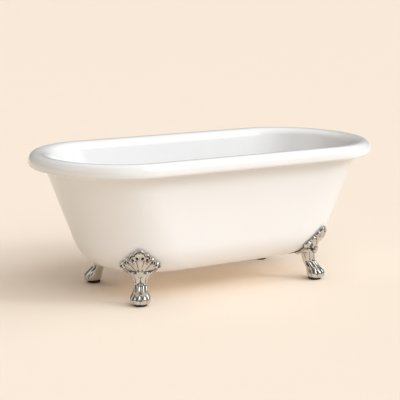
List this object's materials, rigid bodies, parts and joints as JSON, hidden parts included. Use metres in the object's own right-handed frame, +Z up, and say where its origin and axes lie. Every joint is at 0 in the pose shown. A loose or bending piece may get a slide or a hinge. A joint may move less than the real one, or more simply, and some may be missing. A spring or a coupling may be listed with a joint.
{
  "type": "freestanding bathtub",
  "caption": "Double-ended freestanding roll-top bathtub with a white acrylic inner tub and outer skin, chrome lion-paw feet and screw levelling pads.",
  "frame": {"origin": "on the floor, under the centre of the tub", "axes": "+X along the tub's length, +Y towards the side without the overflow, +Z up"},
  "size_m": [1.524, 0.776, 0.59],
  "materials": {
    "acrylic_inner": "gloss",
    "acrylic_outer": "satin gloss",
    "resin": "matte",
    "plywood": "raw",
    "foot_chrome": "polished",
    "plate_steel": "satin black",
    "zinc_steel": "zinc plated",
    "pad_plastic": "matte black",
    "fitting_chrome": "polished",
    "seal_rubber": "matte",
    "pipe_plastic": "matte white",
    "brass": "machined"
  },
  "bodies": {
    "tub": {"inner_shell": "acrylic_inner", "outer_shell": "acrylic_outer", "rim_resin_bead": "resin", "base_board": "plywood", "batten_left": "plywood", "batten_right": "plywood", "foot_front_left": "foot_chrome", "foot_front_right": "foot_chrome", "foot_back_left": "foot_chrome", "foot_back_right": "foot_chrome", "foot_plate_front_left": "plate_steel", "foot_plate_front_right": "plate_steel", "foot_plate_back_left": "plate_steel", "foot_plate_back_right": "plate_steel", "foot_block_front_left": "plywood", "foot_block_front_right": "plywood", "foot_block_back_left": "plywood", "foot_block_back_right": "plywood", "foot_studs": "zinc_steel", "foot_washers": "zinc_steel", "foot_nuts": "zinc_steel", "waste_flange": "fitting_chrome", "overflow_cover": "fitting_chrome", "overflow_screw": "fitting_chrome", "waste_tailpiece": "fitting_chrome", "waste_outlet_nut": "fitting_chrome", "waste_upper_washer": "seal_rubber", "waste_lower_washer": "seal_rubber", "overflow_gasket": "seal_rubber", "waste_body": "pipe_plastic", "overflow_elbow": "pipe_plastic", "overflow_pipe": "pipe_plastic", "plug_cartridge": "brass"},
    "leveller_base_front_left": {"leveller_pad_front_left": "pad_plastic"},
    "leveller_screw_front_left": {"leveller_stud_front_left": "zinc_steel", "leveller_locknut_front_left": "zinc_steel"},
    "leveller_base_front_right": {"leveller_pad_front_right": "pad_plastic"},
    "leveller_screw_front_right": {"leveller_stud_front_right": "zinc_steel", "leveller_locknut_front_right": "zinc_steel"},
    "leveller_base_back_left": {"leveller_pad_back_left": "pad_plastic"},
    "leveller_screw_back_left": {"leveller_stud_back_left": "zinc_steel", "leveller_locknut_back_left": "zinc_steel"},
    "leveller_base_back_right": {"leveller_pad_back_right": "pad_plastic"},
    "leveller_screw_back_right": {"leveller_stud_back_right": "zinc_steel", "leveller_locknut_back_right": "zinc_steel"},
    "plug": {"waste_plug": "fitting_chrome", "plug_seal": "seal_rubber", "plug_stem": "brass"}
  },
  "joints": [
    {"name": "leveller_travel_front_left", "type": "slide", "parent": "tub", "child": "leveller_base_front_left", "axis": [0, 0, 1], "range_m": [-0.01, 0]},
    {"name": "leveller_turn_front_left", "type": "hinge", "parent": "leveller_base_front_left", "child": "leveller_screw_front_left", "pos_m": [-0.423, -0.214, 0], "axis": [0, 0, 1], "range_deg": [-2400.1, 0.1]},
    {"name": "leveller_travel_front_right", "type": "slide", "parent": "tub", "child": "leveller_base_front_right", "axis": [0, 0, 1], "range_m": [-0.01, 0]},
    {"name": "leveller_turn_front_right", "type": "hinge", "parent": "leveller_base_front_right", "child": "leveller_screw_front_right", "pos_m": [0.423, -0.214, 0], "axis": [0, 0, 1], "range_deg": [-2400.1, 0.1]},
    {"name": "leveller_travel_back_left", "type": "slide", "parent": "tub", "child": "leveller_base_back_left", "axis": [0, 0, 1], "range_m": [-0.01, 0]},
    {"name": "leveller_turn_back_left", "type": "hinge", "parent": "leveller_base_back_left", "child": "leveller_screw_back_left", "pos_m": [-0.423, 0.214, 0], "axis": [0, 0, 1], "range_deg": [-2400.1, 0.1]},
    {"name": "leveller_travel_back_right", "type": "slide", "parent": "tub", "child": "leveller_base_back_right", "axis": [0, 0, 1], "range_m": [-0.01, 0]},
    {"name": "leveller_turn_back_right", "type": "hinge", "parent": "leveller_base_back_right", "child": "leveller_screw_back_right", "pos_m": [0.423, 0.214, 0], "axis": [0, 0, 1], "range_deg": [-2400.1, 0.1]},
    {"name": "plug_lift", "type": "slide", "parent": "tub", "child": "plug", "axis": [0, 0, 1], "range_m": [0, 0.009]}
  ],
  "couplings": [
    {"joint": "leveller_turn_front_left", "follows": "leveller_travel_front_left", "rad_per_m": 4188.8},
    {"joint": "leveller_turn_front_right", "follows": "leveller_travel_front_right", "rad_per_m": 4188.8},
    {"joint": "leveller_turn_back_left", "follows": "leveller_travel_back_left", "rad_per_m": 4188.8},
    {"joint": "leveller_turn_back_right", "follows": "leveller_travel_back_right", "rad_per_m": 4188.8}
  ]
}
